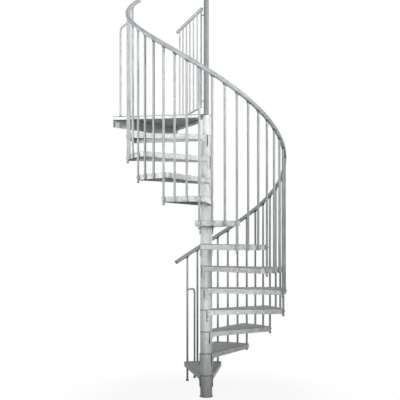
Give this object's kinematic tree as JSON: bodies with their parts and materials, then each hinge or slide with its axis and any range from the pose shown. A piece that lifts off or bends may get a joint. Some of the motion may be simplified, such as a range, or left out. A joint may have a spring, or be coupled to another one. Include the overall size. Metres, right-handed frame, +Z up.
{
  "type": "spiral staircase",
  "caption": "Galvanised steel spiral staircase: folded wedge treads on a sleeved centre column, ring of balusters with a helical handrail, top landing with a guard.",
  "frame": {"origin": "on the column's axis, at the floor under the base flange", "axes": "+Z up along the column; +Y about where the first tread points; the stair rises clockwise seen from above"},
  "size_m": [1.7243, 1.706, 4.0454],
  "materials": {
    "tread_steel": "hot-dip galvanised sheet, dull silver grey with a zinc spangle",
    "sleeve_steel": "hot-dip galvanised tube, satin silver grey",
    "tube_steel": "hot-dip galvanised small tube, satin silver grey",
    "rail_steel": "hot-dip galvanised handrail tube, satin silver grey",
    "cap_plastic": "moulded dark grey plug"
  },
  "bodies": {
    "root": {"base_flange": "sleeve_steel", "centre_pole": "tube_steel", "post_cap": "cap_plastic", "column_sleeves": "sleeve_steel", "landing_spacer": "sleeve_steel", "tread_01": "tread_steel", "tread_02": "tread_steel", "tread_03": "tread_steel", "tread_04": "tread_steel", "tread_05": "tread_steel", "tread_06": "tread_steel", "tread_07": "tread_steel", "tread_08": "tread_steel", "tread_09": "tread_steel", "tread_10": "tread_steel", "tread_11": "tread_steel", "tread_12": "tread_steel", "landing_deck": "tread_steel", "balusters_01": "tube_steel", "balusters_02": "tube_steel", "balusters_03": "tube_steel", "balusters_04": "tube_steel", "balusters_05": "tube_steel", "balusters_06": "tube_steel", "balusters_07": "tube_steel", "balusters_08": "tube_steel", "balusters_09": "tube_steel", "balusters_10": "tube_steel", "balusters_11": "tube_steel", "balusters_12": "tube_steel", "end_baluster": "tube_steel", "handrail_1": "rail_steel", "handrail_2": "rail_steel", "handrail_3": "rail_steel", "handrail_4": "rail_steel", "landing_guard": "tube_steel", "lower_brace": "tube_steel", "upper_brace": "tube_steel"}
  },
  "joints": []
}
